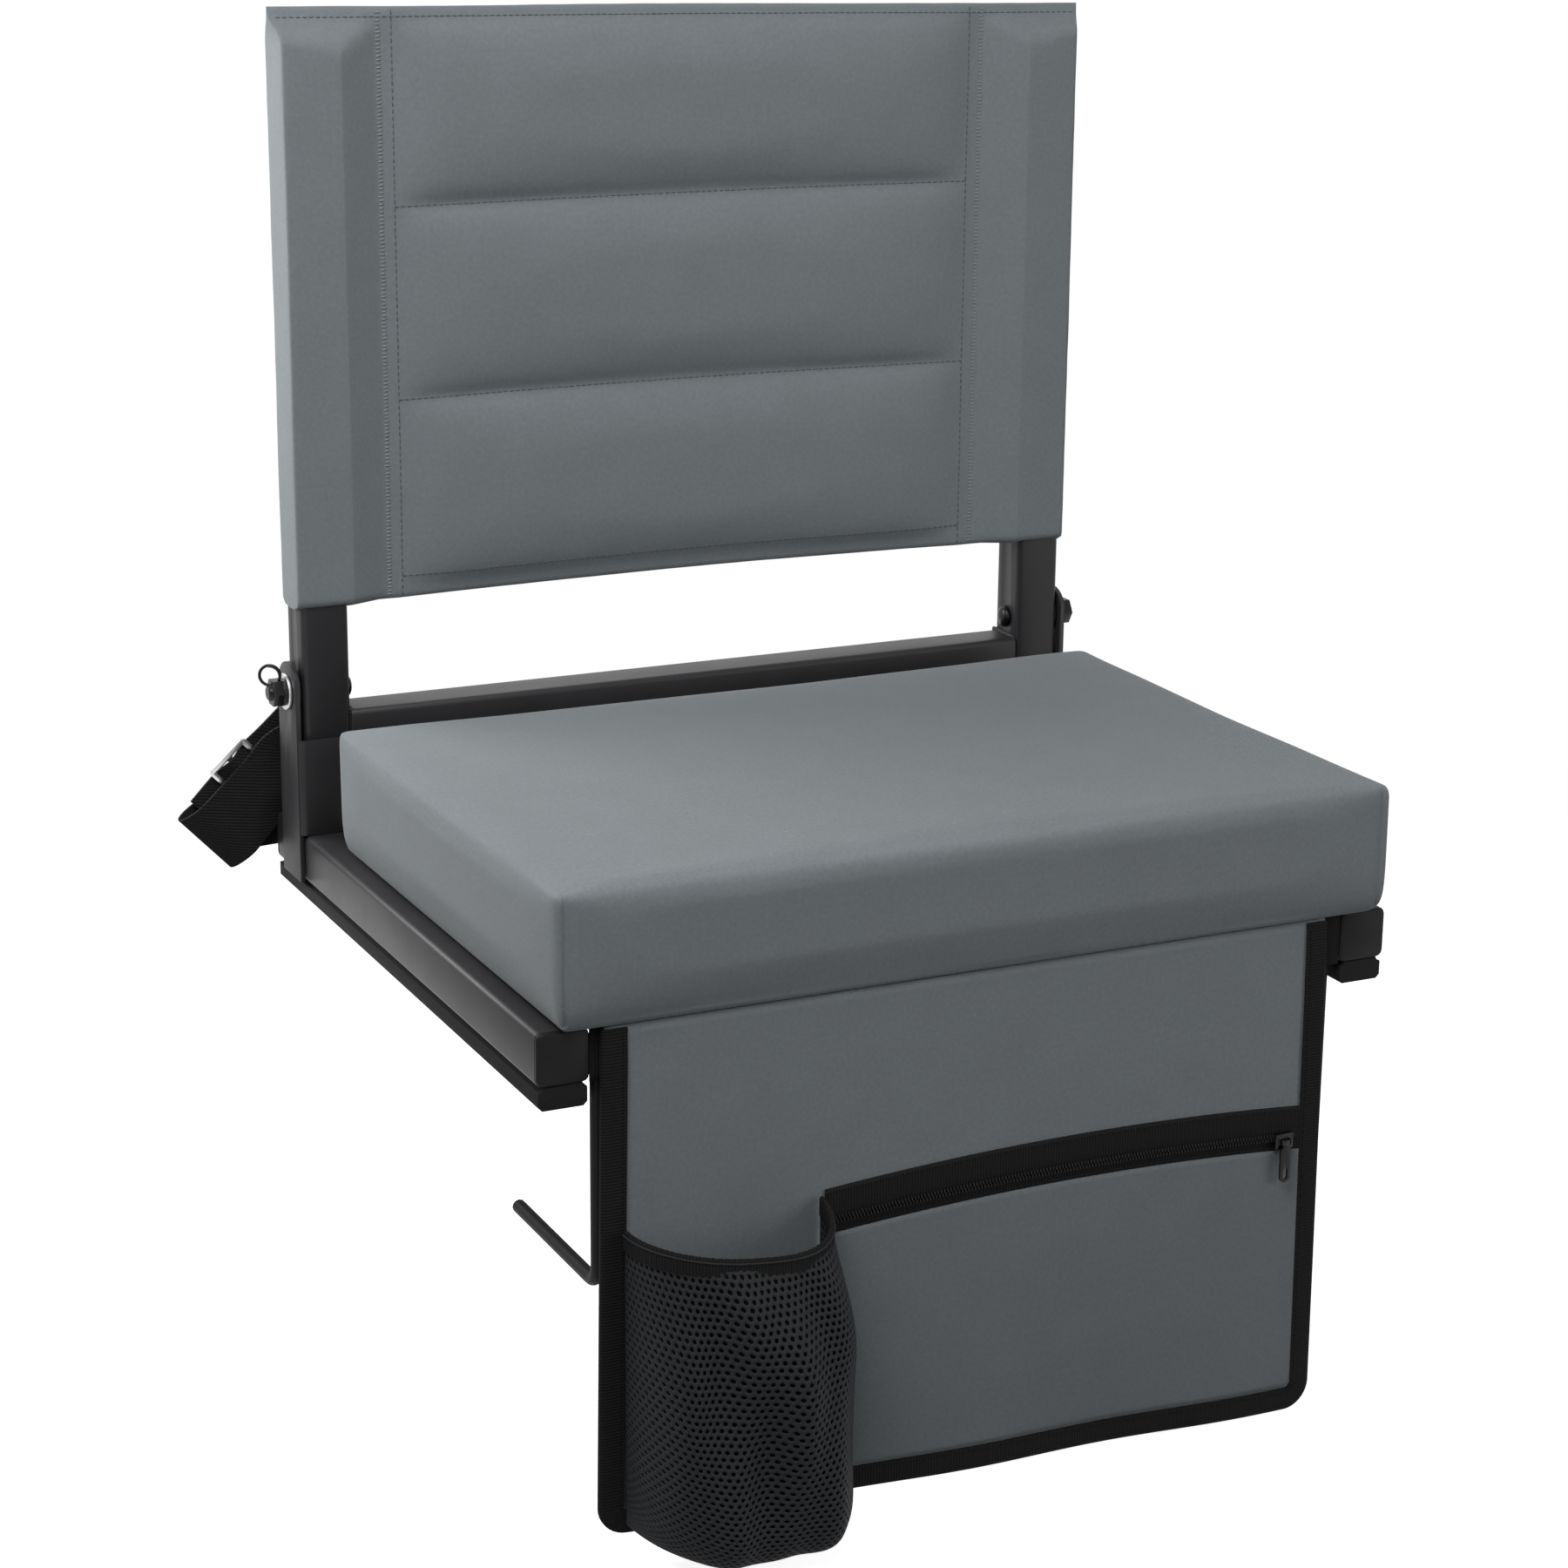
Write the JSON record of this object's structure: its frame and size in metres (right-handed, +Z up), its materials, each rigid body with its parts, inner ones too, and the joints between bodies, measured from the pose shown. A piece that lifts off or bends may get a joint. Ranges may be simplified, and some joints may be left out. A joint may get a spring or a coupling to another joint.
{
  "type": "stadium chair",
  "caption": "Folding stadium chair with steel rails that hook on a bench, a foam seat pad, a padded sling back and a front flap with a zip pocket and a mesh bottle pocket",
  "frame": {"origin": "on the bench, midway between the two feet and midway along the rails", "axes": "+X to the right seen from the front, +Y to the rear, +Z up; the sitter faces -Y"},
  "size_m": [0.5508, 0.4328, 0.6544],
  "materials": {
    "powder_coated_steel": "satin powder coat",
    "black_plastic": "moulded, fine texture",
    "black_rubber": "matte",
    "grey_polyester": "woven polyester",
    "black_binding": "grosgrain tape",
    "black_webbing": "woven webbing",
    "black_net": "knitted net",
    "zinc_plated_steel": "zinc plated",
    "black_nylon": "moulded",
    "seat_board_paint": "painted plywood"
  },
  "bodies": {
    "seat_frame": {"left_rail": "powder_coated_steel", "left_front_plug": "black_plastic", "left_rear_plug": "black_plastic", "left_foot": "black_rubber", "left_bracket": "powder_coated_steel", "left_pivot_bolt": "zinc_plated_steel", "left_pivot_spacer": "black_nylon", "left_pivot_washer": "zinc_plated_steel", "left_pivot_nut": "zinc_plated_steel", "left_hook_sleeve": "powder_coated_steel", "right_rail": "powder_coated_steel", "right_front_plug": "black_plastic", "right_rear_plug": "black_plastic", "right_foot": "black_rubber", "right_bracket": "powder_coated_steel", "right_pivot_bolt": "zinc_plated_steel", "right_pivot_spacer": "black_nylon", "right_pivot_washer": "zinc_plated_steel", "right_pivot_nut": "zinc_plated_steel", "right_hook_sleeve": "powder_coated_steel", "front_cross_tube": "powder_coated_steel", "rear_cross_tube": "powder_coated_steel", "seat_board": "seat_board_paint", "seat_cushion": "grey_polyester"},
    "back": {"left_post": "powder_coated_steel", "left_post_top_plug": "black_plastic", "left_post_bottom_plug": "black_plastic", "right_post": "powder_coated_steel", "right_post_top_plug": "black_plastic", "right_post_bottom_plug": "black_plastic", "back_cross_bar": "powder_coated_steel", "back_panel": "grey_polyester", "carry_strap": "black_webbing", "strap_slide": "zinc_plated_steel"},
    "left_hook_body": {"left_hook": "powder_coated_steel", "left_hook_clip": "zinc_plated_steel"},
    "right_hook_body": {"right_hook": "powder_coated_steel", "right_hook_clip": "zinc_plated_steel"},
    "flap": {"flap_panel": "grey_polyester", "flap_binding": "black_binding", "zip_pocket_panel": "grey_polyester", "zip_tape": "black_binding", "zip_coil": "black_nylon", "bottle_pocket": "black_net", "bottle_pocket_rim": "black_binding"},
    "slider": {"zip_slider": "zinc_plated_steel"},
    "puller": {"zip_puller": "zinc_plated_steel"}
  },
  "joints": [
    {"name": "back_fold", "type": "hinge", "parent": "seat_frame", "child": "back", "pos_m": [0, 0.1508, 0.11], "axis": [1, 0, 0], "range_deg": [0, 82]},
    {"name": "left_hook_swivel", "type": "hinge", "parent": "seat_frame", "child": "left_hook_body", "pos_m": [-0.1899, -0.165, 0.0195], "axis": [0, -1, 0], "range_deg": [0, 90]},
    {"name": "right_hook_swivel", "type": "hinge", "parent": "seat_frame", "child": "right_hook_body", "pos_m": [0.1899, -0.165, 0.0195], "axis": [0, 1, 0], "range_deg": [0, 90]},
    {"name": "flap_lift", "type": "hinge", "parent": "seat_frame", "child": "flap", "pos_m": [-0.004, -0.1875, 0.0347], "axis": [-1, 0, 0], "range_deg": [0, 80]},
    {"name": "zip_run", "type": "slide", "parent": "flap", "child": "slider", "axis": [-1, 0, 0], "range_m": [0, 0.233]},
    {"name": "puller_swing", "type": "hinge", "parent": "slider", "child": "puller", "pos_m": [0.1642, -0.1949, -0.0733], "axis": [-1, 0, 0], "range_deg": [0, 120]}
  ]
}
